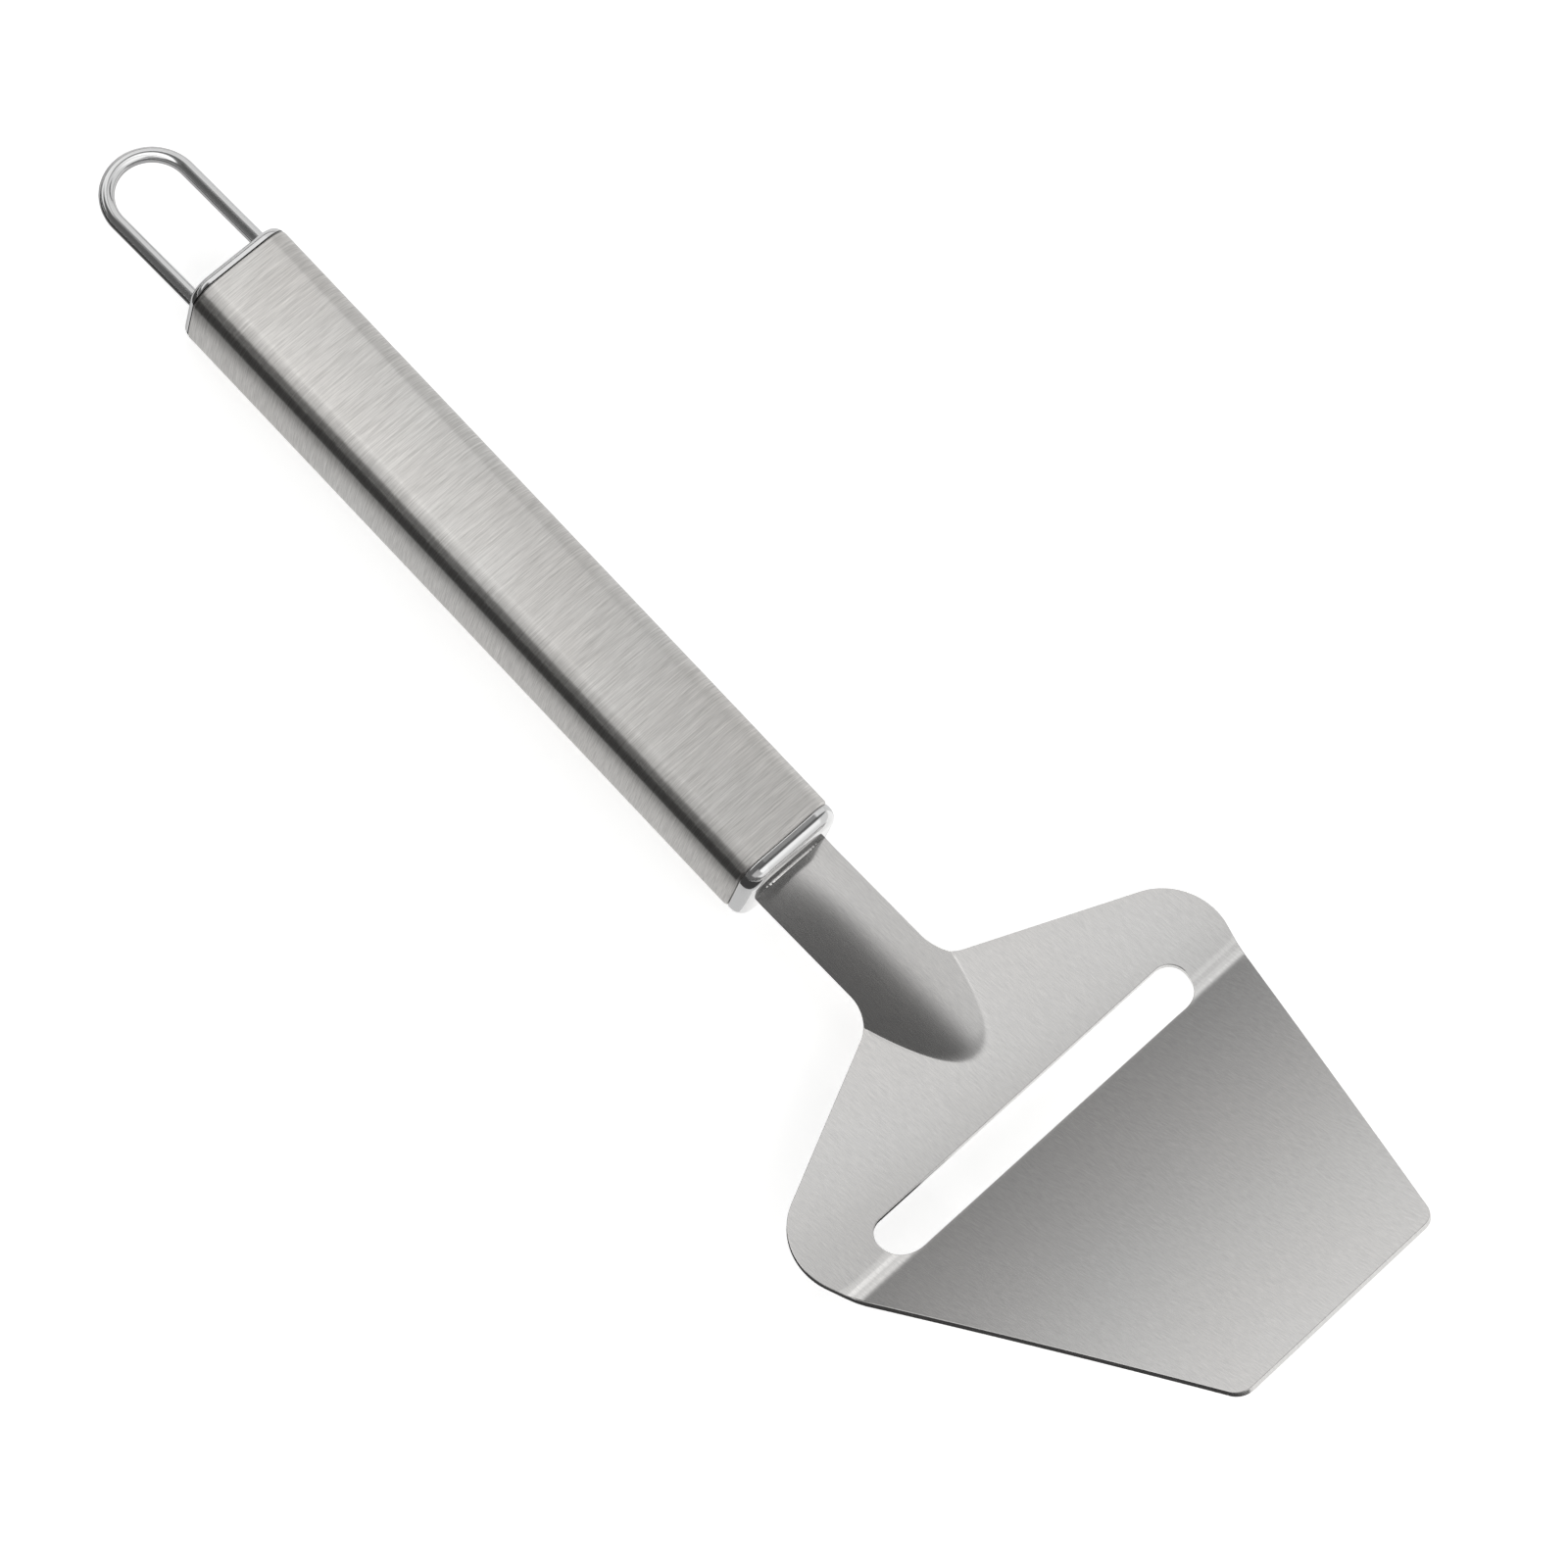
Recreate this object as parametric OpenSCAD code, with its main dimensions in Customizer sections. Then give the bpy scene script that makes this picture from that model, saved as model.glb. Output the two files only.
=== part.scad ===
// Cheese slicer: a slotted steel blade, bent up at its slot, whose arched neck runs into a hollow square
// handle with a wire loop to hang it by.
// X runs along the handle towards the blade, Y across it and Z up.
// The origin is the middle of the handle's flat underside.

/* [Handle] */
// Length of the handle tube
handle_length = 112; // [90:1:130]
// Width and height of the handle tube
handle_side = 17.7; // [16.5:0.1:22]
// Radius of the tube's four long corners
handle_corner = 3.9; // [2.6:0.1:5]
// Thickness of the tube's wall
tube_wall = 0.6; // [0.4:0.1:1]
// Rounding of the tube's two end edges
tube_edge = 0.5; // [0.2:0.1:0.5]

/* [Ferrule and rear cap] */
// How far the ferrule stands out of the front of the tube
ferrule_reach = 2.7; // [2.5:0.1:5]
// How far the rear cap stands out of the back of the tube
cap_reach = 1.6; // [1.6:0.1:5]
// Depth of both plugs inside the tube
plug_depth = 6; // [5:0.5:12]
// How far their collars stay inside the tube's outline
collar_inset = 0.3; // [0.2:0.05:0.4]
// Rounding of the ferrule's outer edge
ferrule_edge = 1.8; // [0.5:0.1:2.4]
// Rounding of the rear cap's outer edge
cap_edge = 1.2; // [0.5:0.1:1.5]
// Gap between parts that are pushed into each other
fit_gap = 0.05; // [0.03:0.01:0.1]

/* [Hanging loop] */
// Diameter of the wire
wire_diameter = 2.3; // [1.6:0.1:2.8]
// Distance between the middles of the two legs
loop_width = 13.1; // [10:0.1:13.4]
// Length of the legs behind the rear cap, up to the round end
leg_length = 16; // [8:0.5:40]
// How far the legs run into the rear cap
leg_depth = 5; // [3:0.5:5]
// Height of the legs above the handle's axis at the rear cap
loop_rise = 1.4; // [-2:0.1:2]
// Angle by which the loop leans down from the handle's axis
loop_droop = 4.5; // [0:0.5:8]

/* [Blade sheet] */
// Thickness of the sheet
sheet = 1; // [0.8:0.1:1.2]
// Distance from the ferrule's face to the bend
bend_ahead = 50.7; // [48:0.1:54]
// Height of the bend above the handle's axis, on the top face
bend_rise = 6.1; // [5.6:0.1:6.6]
// Upward slope of the plate behind the bend
rear_pitch = 11; // [10:0.1:13]
// Upward slope of the plate ahead of the bend
front_pitch = 36.3; // [32:0.1:42]
// Inside radius of the bend
bend_radius = 5.5; // [3:0.5:6.5]

/* [Blade outline] */
// Half of the blade's width at the bend
bend_half_width = 38.1; // [34:0.1:40]
// Angle by which each side closes in towards the front, seen square to the bend
side_taper = 19.4; // [10:0.1:22]
// Length of the plate ahead of the bend
front_length = 57.3; // [45:0.1:70]
// Radius of the two front corners
front_corner = 2.8; // [1:0.1:6]
// Distance from the bend back to where the shoulders leave the neck
shoulder_back = 28; // [27:0.1:30]
// Angle between the shoulders and a line straight across, seen square to the bend
shoulder_angle = 23.6; // [20:0.1:30]
// Radius of the two rear corners
rear_corner = 9.5; // [6:0.5:10]

/* [Blade slot] */
// Distance from the bend back to the slot's rear edge
slot_back = 5.8; // [5:0.05:7]
// Distance from the bend forward to the cutting edge
slot_ahead = 1.4; // [1.2:0.05:3]
// Length of the slot
slot_length = 59.8; // [40:0.1:62]
// Radius of the slot's ends at its rear edge
slot_rear_end = 2.8; // [1.5:0.05:3]
// Width of the bevel ground under the cutting edge
bevel_width = 2.5; // [1:0.1:5]
// Thickness left at the cutting edge
edge_thickness = 0.15; // [0.1:0.05:0.3]

/* [Neck] */
// Half of the neck's width
neck_half_width = 6.9; // [6:0.1:7]
// Outside radius of the neck's arch
neck_radius = 19.1; // [16:0.1:24]
// Upward slope of the neck
neck_pitch = 3.2; // [2:0.1:5]
// Height of the neck's crown above the handle's axis, at the ferrule's face
neck_rise = 1.6; // [1.2:0.05:2]
// Radius of the hollow corners between neck and shoulders
neck_fillet = 5.3; // [3:0.1:7]

/* [Hidden] */
$fn = 96;
steel = [0.74, 0.73, 0.71];
polished = [0.86, 0.86, 0.86];
// Extra length that takes a cut clear of a surface
clear = 1;
// Size of a block that reaches past the whole blade
reach = 200;

axis_z = handle_side / 2;
tube_front = handle_length / 2;
tube_rear = -handle_length / 2;
bore_side = handle_side - 2 * tube_wall;
bore_corner = handle_corner - tube_wall;
plug_side = bore_side - 2 * fit_gap;
plug_corner = bore_corner - fit_gap;
collar_side = handle_side - 2 * collar_inset;
collar_corner = handle_corner - collar_inset;
face_x = tube_front + ferrule_reach;
tang_length = ferrule_reach + plug_depth;

// Bend between the two plates, seen from the side
bend_x = face_x + bend_ahead;
bend_z = axis_z + bend_rise;
middle_pitch = (rear_pitch + front_pitch) / 2;
bend_half_angle = (front_pitch - rear_pitch) / 2;
bend_centre = bend_radius / cos(bend_half_angle) * [-sin(middle_pitch), cos(middle_pitch)];
// Flat steps that make up the bend's arc
bend_steps = 6;

// The plate runs back under the neck, where the arch takes over from it
plate_run = shoulder_back + 2 * neck_fillet;
// Width of the sheet before it is cut to shape
blade_width = 2 * (bend_half_width + rear_corner);
// The arch runs forward until the plate has risen past its crown
neck_run = bend_ahead - slot_back;
// Height of the block that cuts the tang's slot in the ferrule, more than the arch needs
neck_height = 20;

// The blade is cut from a plan seen square to the middle of the bend, where both plates look a little shorter
plan_ratio = cos(bend_half_angle);
plan_front = front_length * plan_ratio;
plan_shoulder = shoulder_back * plan_ratio;
plan_slot_back = slot_back * plan_ratio;
plan_slot_ahead = slot_ahead * plan_ratio;

// Rear corners: where shoulder and side would cross, and the arc that touches both
side_fall = tan(side_taper);
shoulder_lean = tan(shoulder_angle);
rear_corner_y = (bend_half_width + side_fall * (plan_shoulder + neck_half_width * shoulder_lean))
    / (1 + side_fall * shoulder_lean);
rear_corner_point = [(bend_half_width - rear_corner_y) / side_fall, rear_corner_y];
along_shoulder = [sin(shoulder_angle), cos(shoulder_angle)];
along_side = [cos(side_taper), -sin(side_taper)];
rear_corner_tangent = rear_corner * tan((90 - shoulder_angle + side_taper) / 2);
rear_arc_start = rear_corner_point - rear_corner_tangent * along_shoulder;
rear_arc_end = rear_corner_point + rear_corner_tangent * along_side;
rear_arc_centre = rear_arc_start + rear_corner * [cos(shoulder_angle), -sin(shoulder_angle)];

// Hollow corners between neck and shoulders
neck_fillet_tangent = neck_fillet * tan((90 - shoulder_angle) / 2);
neck_corner_point = [-plan_shoulder, neck_half_width];
neck_arc_start = neck_corner_point - [neck_fillet_tangent, 0];
neck_arc_end = neck_corner_point + neck_fillet_tangent * along_shoulder;
neck_arc_centre = neck_arc_start + [0, neck_fillet];

// Front corners
front_corner_point = [plan_front, bend_half_width - plan_front * side_fall];
front_corner_tangent = front_corner * tan((90 - side_taper) / 2);
front_arc_start = front_corner_point - front_corner_tangent * along_side;
front_arc_end = front_corner_point - [0, front_corner_tangent];
front_arc_centre = front_arc_end - [front_corner, 0];

// Slot ends: a small arc at the rear edge runs into a larger one at the cutting edge
slot_middle = slot_rear_end - plan_slot_back;
slot_front_end = plan_slot_ahead - slot_middle;
slot_rear_half = slot_length / 2 - slot_rear_end;
slot_front_half = slot_length / 2 - slot_front_end;
// How far ahead of the slot's middle the larger arcs take over, so that both sizes overlap
slot_overlap = 0.5;

// Points of a half outline, followed by their mirror images across the centre line
function both_sides(points) =
    concat(points, [for (i = [len(points) - 1 : -1 : 0]) [points[i].x, -points[i].y]]);

// Square with round corners, centred
module rounded_square(side, corner) {
    flat = side - 2 * corner;
    square([side, flat], center = true);
    square([flat, side], center = true);
    for (y = [-1, 1], z = [-1, 1])
        translate([y, z] * flat / 2)
            circle(corner);
}

// Strip from y = 0 to y = length, its outer corners at x = half_width rounded
module rounded_strip(half_width, length, edge) {
    square([half_width - edge, length]);
    translate([0, edge])
        square([half_width, length - 2 * edge]);
    intersection() {
        square([half_width, length]);
        for (y = [edge, length - edge])
            translate([half_width - edge, y])
                circle(edge);
    }
}

// Square bar with round long corners and rounded end edges, from x = 0 to x = length
module rounded_bar(side, corner, length, edge) {
    flat = side - 2 * corner;
    rotate([90, 0, 90]) {
        for (y = [-1, 1], z = [-1, 1])
            translate([y * flat / 2, z * flat / 2, 0])
                rotate_extrude()
                    rounded_strip(corner, length, edge);
        for (turn = [0, 90])
            rotate(turn)
                rotate([90, 0, 0])
                    linear_extrude(flat, center = true)
                        for (half = [0, 1])
                            mirror([half, 0])
                                rounded_strip(side / 2, length, edge);
    }
}

// Plug that fills the tube's end at x = 0, and the collar that stands out of it along +X
module stopper(reach, edge) {
    translate([-plug_depth, 0, 0])
        rounded_bar(plug_side, plug_corner, plug_depth + reach / 2, tube_edge);
    intersection() {
        translate([-reach, 0, 0])
            rounded_bar(collar_side, collar_corner, 2 * reach, edge);
        translate([fit_gap, -handle_side, -handle_side])
            cube(2 * handle_side);
    }
}

// Arched solid under the neck's outer face, or under its inner face when drawn smaller
module neck_arch(radius, back) {
    translate([face_x, 0, axis_z + neck_rise])
        rotate([0, -neck_pitch, 0])
            translate([-back, 0, -neck_radius])
                rotate([0, 90, 0])
                    cylinder(r = radius, h = back + neck_run);
}

module handle_tube() {
    color(steel)
        difference() {
            translate([tube_rear, 0, axis_z])
                rounded_bar(handle_side, handle_corner, handle_length, tube_edge);
            translate([tube_rear - clear, 0, axis_z])
                rotate([90, 0, 90])
                    linear_extrude(handle_length + 2 * clear)
                        rounded_square(bore_side, bore_corner);
        }
}

// Plug in the front of the tube, slotted for the blade's tang
module front_ferrule() {
    color(polished)
        difference() {
            translate([tube_front, 0, axis_z])
                stopper(ferrule_reach, ferrule_edge);
            intersection() {
                difference() {
                    neck_arch(neck_radius + fit_gap, tang_length + clear);
                    neck_arch(neck_radius - sheet - fit_gap, tang_length + 2 * clear);
                }
                translate([tube_front, 0, axis_z])
                    cube([reach, 2 * (neck_half_width + fit_gap), neck_height], center = true);
            }
        }
}

// Places the loop's own axes: the legs run back from the rear cap along -X
module at_loop() {
    translate([tube_rear - cap_reach, 0, axis_z + loop_rise])
        rotate([0, -loop_droop, 0])
            children();
}

// The two legs as straight rods, from their blind ends in the cap back to the round end
module loop_legs(diameter) {
    for (side = [-1, 1])
        translate([-leg_length, side * loop_width / 2, 0])
            rotate([0, 90, 0])
                cylinder(d = diameter, h = leg_length + leg_depth);
}

module rear_cap() {
    color(polished)
        difference() {
            translate([tube_rear, 0, axis_z])
                mirror([1, 0, 0])
                    stopper(cap_reach, cap_edge);
            at_loop()
                loop_legs(wire_diameter + 2 * fit_gap);
        }
}

module hanging_loop() {
    color(polished)
        at_loop() {
            loop_legs(wire_diameter);
            translate([-leg_length, 0, 0])
                rotate(90)
                    rotate_extrude(angle = 180)
                        translate([loop_width / 2, 0])
                            circle(d = wire_diameter);
        }
}

// Places a flat drawing on one of the blade's planes: X forward from the bend, Z out of the top face
module at_bend(pitch) {
    translate([bend_x, 0, bend_z])
        rotate([0, -pitch, 0])
            children();
}

// Points of the bend's arc in side view, from the rear plate to the front one
function bend_arc(radius) = [
    for (step = [0 : bend_steps])
        let (pitch = rear_pitch + (front_pitch - rear_pitch) * step / bend_steps)
            bend_centre + radius * [sin(pitch), -cos(pitch)]
];

// The bent sheet before it is cut to shape; its rear end lies under the neck
module bent_sheet() {
    top = bend_arc(bend_radius);
    under = bend_arc(bend_radius + sheet);
    rear_top = -plate_run * [cos(rear_pitch), sin(rear_pitch)];
    rear_under = rear_top + sheet * [sin(rear_pitch), -cos(rear_pitch)];
    front_run = reach * [cos(front_pitch), sin(front_pitch)];
    translate([bend_x, 0, bend_z])
        rotate([90, 0, 0])
            linear_extrude(blade_width, center = true)
                polygon(concat(
                    [rear_top],
                    top,
                    [top[bend_steps] + front_run, under[bend_steps] + front_run],
                    [for (step = [bend_steps : -1 : 0]) under[step]],
                    [rear_under]
                ));
}

// The sheet with the neck's arch pressed into it: whichever of plate and arch stands higher
module pressed_sheet() {
    difference() {
        union() {
            bent_sheet();
            difference() {
                neck_arch(neck_radius, tang_length);
                at_bend(rear_pitch)
                    translate([-reach, -reach / 2, -reach - sheet / 2])
                        cube([2 * reach, reach, reach]);
            }
        }
        neck_arch(neck_radius - sheet, tang_length + clear);
    }
}

// Carries a plan straight through the blade, square to the middle of its bend
module through_blade() {
    at_bend(middle_pitch)
        linear_extrude(reach, center = true)
            children();
}

// Block with the outline of the neck and the two plates
module blade_block() {
    through_blade()
        difference() {
            polygon(both_sides([
                [-reach, neck_half_width],
                neck_arc_start,
                neck_arc_centre,
                neck_arc_end,
                rear_arc_start,
                rear_arc_end,
                front_arc_start,
                front_arc_end
            ]));
            for (side = [-1, 1])
                translate([neck_arc_centre.x, side * neck_arc_centre.y])
                    circle(neck_fillet);
        }
    for (side = [-1, 1])
        through_blade() {
            translate([rear_arc_centre.x, side * rear_arc_centre.y])
                circle(rear_corner);
            translate([front_arc_centre.x, side * front_arc_centre.y])
                circle(front_corner);
        }
}

// The slot, which crosses the bend: a bar with round ends behind, and a wider round in front that overlaps it
module slot_block() {
    through_blade() {
        translate([-plan_slot_back, -slot_rear_half])
            square([2 * slot_rear_end, 2 * slot_rear_half]);
        for (side = [-1, 1])
            translate([slot_middle, side * slot_rear_half])
                circle(slot_rear_end);
    }
    through_blade()
        intersection() {
            union() {
                translate([slot_middle, -slot_front_half])
                    square([slot_front_end, 2 * slot_front_half]);
                for (side = [-1, 1])
                    translate([slot_middle, side * slot_front_half])
                        circle(slot_front_end);
            }
            translate([slot_middle + slot_overlap, -slot_length])
                square([slot_front_end, 2 * slot_length]);
        }
}

// Wedge ground off the underside along the cutting edge, ending just short of the rounds
module cutting_bevel() {
    at_bend(front_pitch)
        rotate([90, 0, 0])
            linear_extrude(2 * slot_front_half - clear, center = true)
                polygon([
                    [slot_ahead - clear, -edge_thickness],
                    [slot_ahead, -edge_thickness],
                    [slot_ahead + bevel_width, -sheet],
                    [slot_ahead + bevel_width, -sheet - clear],
                    [slot_ahead - clear, -sheet - clear]
                ]);
}

module blade() {
    color(steel)
        difference() {
            intersection() {
                pressed_sheet();
                blade_block();
            }
            slot_block();
            cutting_bevel();
        }
}

handle_tube();
front_ferrule();
rear_cap();
hanging_loop();
blade();
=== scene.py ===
"""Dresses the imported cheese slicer: smooth steel pieces over the CAD frame, their finishes, and a stage."""
import math
from typing import NamedTuple

import bpy
import numpy as np
from bpy.props import FloatProperty, FloatVectorProperty, PointerProperty
from mathutils import Matrix, Vector
from mathutils.geometry import delaunay_2d_cdt


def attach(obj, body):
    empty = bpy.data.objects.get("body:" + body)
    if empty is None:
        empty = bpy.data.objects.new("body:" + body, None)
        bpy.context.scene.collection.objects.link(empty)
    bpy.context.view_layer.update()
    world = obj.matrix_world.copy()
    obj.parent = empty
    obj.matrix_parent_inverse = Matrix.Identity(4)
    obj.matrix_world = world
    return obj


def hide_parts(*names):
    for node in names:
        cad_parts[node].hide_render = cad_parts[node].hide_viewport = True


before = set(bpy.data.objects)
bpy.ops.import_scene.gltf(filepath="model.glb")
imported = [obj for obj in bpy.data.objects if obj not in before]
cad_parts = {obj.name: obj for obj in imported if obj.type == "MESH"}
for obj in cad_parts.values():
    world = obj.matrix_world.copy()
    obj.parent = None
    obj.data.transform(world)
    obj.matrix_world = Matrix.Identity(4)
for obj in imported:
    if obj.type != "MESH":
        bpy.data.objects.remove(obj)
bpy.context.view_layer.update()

bl_info = {
    "name": "Cheese slicer",
    "version": (1, 0, 0),
    "blender": (4, 5, 0),
    "location": "View3D > Sidebar > Slicer",
    "description": "Builds the steel pieces of a cheese slicer over its CAD frame, and a studio stage",
    "category": "Add Mesh",
}

MM = 0.001
BODY = "root"
# Faces along a quarter turn of a round corner or edge
QUARTER_STEPS = 12
# Faces across one side of the handle
CROWN_STEPS = 8
# Mesh points count as one where they agree to this many parts of a metre
POINT_GRID = 1e8


def size(name, description, millimetres):
    """A size in metres whose default is given in millimetres."""
    return FloatProperty(
        name=name, description=description, default=millimetres * MM, unit="LENGTH", precision=5)


def angle(name, description, degrees):
    """An angle whose default is given in degrees."""
    return FloatProperty(name=name, description=description, default=math.radians(degrees), subtype="ANGLE")


def linear(code):
    """Linear RGB of an sRGB hex colour."""
    channels = [int(code[i:i + 2], 16) / 255 for i in (1, 3, 5)]
    return [c / 12.92 if c <= 0.04045 else ((c + 0.055) / 1.055) ** 2.4 for c in channels]


def colour(name, description, code):
    """A colour whose default is given as an sRGB hex value."""
    return FloatVectorProperty(
        name=name, description=description, default=linear(code), subtype="COLOR", min=0, max=1)


class HandleSizes(bpy.types.PropertyGroup):
    """Sizes of the handle tube, its ferrule and its rear cap"""
    length: size("Length", "Length of the handle tube", 112)
    side: size("Side", "Width and height of the tube", 17.7)
    corner: size("Corner", "Radius of the tube's four long corners", 3.9)
    wall: size("Wall", "Thickness of the tube's wall", 0.6)
    front_edge: size("Front edge", "Rounding of the tube's front end", 0.58)
    rear_edge: size("Rear edge", "Rounding of the tube's rear end", 0.25)
    crown: size("Crown", "How far the middle of each drawn face stands above its two sides", 0.15)
    plug_depth: size("Plug depth", "Depth of both plugs inside the tube", 6)
    plug_gap: size("Plug gap", "Gap between a plug and the tube", 0.05)
    collar_inset: size("Collar inset", "How far the collars stay inside the tube's outline", 0.3)
    collar_back: size("Collar back", "Rounding of both collars' edges next to the tube", 0.2)
    ferrule_reach: size("Ferrule reach", "How far the ferrule stands out of the tube", 2.7)
    ferrule_edge: size("Ferrule edge", "Rounding of the ferrule's outer edge", 2)
    cap_reach: size("Cap reach", "How far the rear cap stands out of the tube", 1.6)
    cap_edge: size("Cap edge", "Rounding of the rear cap's outer edge", 1.5)


class LoopSizes(bpy.types.PropertyGroup):
    """Sizes of the wire loop behind the handle"""
    wire: size("Wire", "Diameter of the wire", 2.3)
    width: size("Width", "Distance between the middles of the two legs", 13.1)
    leg: size("Leg", "Length of the legs behind the rear cap", 15.99)
    depth: size("Depth", "How far the legs run into the rear cap", 5)
    rise: size("Rise", "Height of the legs above the handle's axis at the cap", 1.4)
    droop: angle("Droop", "Angle by which the loop leans down", 4.5)


class BladeSizes(bpy.types.PropertyGroup):
    """Sizes of the blade, its slot and its neck"""
    sheet: size("Sheet", "Thickness of the sheet", 1)
    edge: size("Edge", "Rounding of the sheet's cut edges", 0.12)
    bend_ahead: size("Bend ahead", "Distance from the ferrule's face to the bend", 50.7)
    bend_rise: size("Bend rise", "Height of the bend above the handle's axis", 6.1)
    bend_reach: size("Bend reach", "How far the bend reaches along the sheet to each side", 2)
    rear_pitch: angle("Rear pitch", "Upward slope of the plate behind the bend", 11)
    front_pitch: angle("Front pitch", "Upward slope of the plate ahead of the bend", 36.3)
    front_spring: angle("Front spring", "How much steeper the front plate starts, and flatter it ends", 1.5)
    half_width: size("Half width", "Half of the blade's width at the bend", 38.09)
    side_taper: angle("Side taper", "Angle by which each side closes in, seen square to the bend", 19.4)
    front_length: size("Front length", "Length of the plate ahead of the bend", 57.1)
    front_corner: size("Front corner", "Radius of the two front corners", 2.8)
    shoulder_back: size("Shoulder back", "Distance from the bend to where the shoulders leave the neck", 28)
    shoulder_angle: angle("Shoulder angle", "Angle between the shoulders and a line straight across", 23.6)
    rear_corner: size("Rear corner", "Radius of the two rear corners", 9.5)
    slot_back: size("Slot back", "Distance from the bend back to the slot", 5.8)
    slot_ahead: size("Slot ahead", "Distance from the bend forward to the cutting edge", 1.4)
    slot_length: size("Slot length", "Length of the slot", 59.8)
    slot_rear_end: size("Slot end", "Radius of the slot's ends at its rear edge", 2.8)
    bevel_width: size("Bevel width", "Width of the bevel under the cutting edge", 2.5)
    edge_thickness: size("Edge thickness", "Thickness left at the cutting edge", 0.15)
    neck_half_width: size("Neck half width", "Half of the neck's width", 6.9)
    neck_radius: size("Neck radius", "Outside radius of the neck's arch", 19.1)
    neck_pitch: angle("Neck pitch", "Upward slope of the neck", 3.2)
    neck_rise: size("Neck rise", "Height of the neck's crown above the handle's axis", 1.5)
    neck_fillet: size("Neck fillet", "Radius of the hollow corners between neck and shoulders", 5.3)
    crease: size("Crease", "Softness of the crease where the neck meets the plate", 0.05)
    tongue: size("Tongue", "Softness of the neck's end in the plate", 0.7)
    groove: size("Groove", "Depth of the fine groove that the press leaves along the crease", 0.035)
    solder: size("Solder", "Radius of the hollow joint between neck and ferrule", 0.2)


class Finishes(bpy.types.PropertyGroup):
    """Colours of the steels and of the floor"""
    tube: colour("Tube", "Steel of the brushed tube", "#EAEAE8")
    tube_shade: colour("Tube shade", "Darker streaks of the brushed tube", "#B5B3B0")
    tube_warm: colour("Tube warmth", "Faint warm clouds of the brushed tube", "#EBE7E3")
    sheet: colour("Sheet", "Steel of the blade", "#D6D6D5")
    sheet_shade: colour("Sheet shade", "Darker grain of the blade", "#C3C2C1")
    sheet_warm: colour("Sheet warmth", "Faint warm clouds of the blade", "#D8D5D2")
    fittings: colour("Fittings", "Polished steel of ferrule, cap and loop", "#DADADA")
    floor: colour("Floor", "Pale floor", "#F4F4F3")


class StageSettings(bpy.types.PropertyGroup):
    """Place of the camera"""
    azimuth: angle("Azimuth", "Direction of the camera round the slicer", 21.0746)
    elevation: angle("Elevation", "Height of the camera above the horizon", 69.2489)
    roll: angle("Roll", "Turn of the camera about its line of sight", 26.6661)
    distance: size("Distance", "Distance from the camera to its target", 950)
    target: FloatVectorProperty(
        name="Target", description="Point that the camera looks at", subtype="XYZ", unit="LENGTH",
        default=(49.1451 * MM, 7.9786 * MM, 8.85 * MM))
    lens: FloatProperty(
        name="Lens", description="Focal length on a 36 mm sensor", default=155.95, unit="CAMERA")


def add_node(tree, kind, inputs=None, **settings):
    """Adds a node; an input given as (node, output) is linked, and any other input is a value."""
    node = tree.nodes.new(kind)
    for name, value in settings.items():
        setattr(node, name, value)
    for name, value in (inputs or {}).items():
        if isinstance(value, tuple) and isinstance(value[0], bpy.types.Node):
            tree.links.new(value[0].outputs[value[1]], node.inputs[name])
        else:
            node.inputs[name].default_value = value
    return node


def new_material(name):
    """An empty node material with its output node."""
    material = bpy.data.materials.new(name)
    material.use_nodes = True
    material.node_tree.nodes.clear()
    output = add_node(material.node_tree, "ShaderNodeOutputMaterial")
    return material, material.node_tree, output


class Grain(NamedTuple):
    """Marks that brushing or rolling leaves on steel, with their sizes in metres."""
    mark: tuple  # size of one mark along X, Y and Z
    layers: float  # finer layers of marks
    harshness: float  # strength of each finer layer
    cloud: float  # size of the faint clouds of colour and gloss
    roughness: tuple  # least and greatest roughness
    relief: float  # strength of the bump
    depth: float  # depth of the marks


def grained_steel(name, grain, steel, shade, warm):
    """Steel with directional marks; returns the material and its shader, which still needs its direction."""
    material, tree, output = new_material(name)
    place = add_node(tree, "ShaderNodeTexCoord")
    stretch = add_node(tree, "ShaderNodeMapping", {
        "Vector": (place, "Object"), "Scale": [1 / side for side in grain.mark]})
    marks = add_node(tree, "ShaderNodeTexNoise", {
        "Vector": (stretch, "Vector"), "Scale": 1.0, "Detail": grain.layers, "Roughness": grain.harshness})
    clouds = add_node(tree, "ShaderNodeTexNoise", {
        "Vector": (place, "Object"), "Scale": 1 / grain.cloud, "Detail": 1.0})
    # The noise keeps near its middle, so its middle half is stretched over the whole range
    contrast = add_node(tree, "ShaderNodeMapRange", {
        "Value": (marks, "Fac"), "From Min": 0.25, "From Max": 0.75})
    warmth = add_node(tree, "ShaderNodeMix", {
        "Factor": (clouds, "Fac"), "A": (*steel, 1), "B": (*warm, 1)}, data_type="RGBA")
    tint = add_node(tree, "ShaderNodeMix", {
        "Factor": (contrast, "Result"), "A": (*shade, 1), "B": (warmth, "Result")}, data_type="RGBA")
    dull = add_node(tree, "ShaderNodeMapRange", {
        "Value": (clouds, "Fac"), "To Min": grain.roughness[0], "To Max": grain.roughness[1]})
    ridges = add_node(tree, "ShaderNodeBump", {
        "Height": (marks, "Fac"), "Strength": grain.relief, "Distance": grain.depth})
    shader = add_node(tree, "ShaderNodeBsdfPrincipled", {
        "Base Color": (tint, "Result"), "Metallic": 1.0, "Roughness": (dull, "Result"),
        "Normal": (ridges, "Normal")})
    tree.links.new(shader.outputs["BSDF"], output.inputs["Surface"])
    return material, shader


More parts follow.
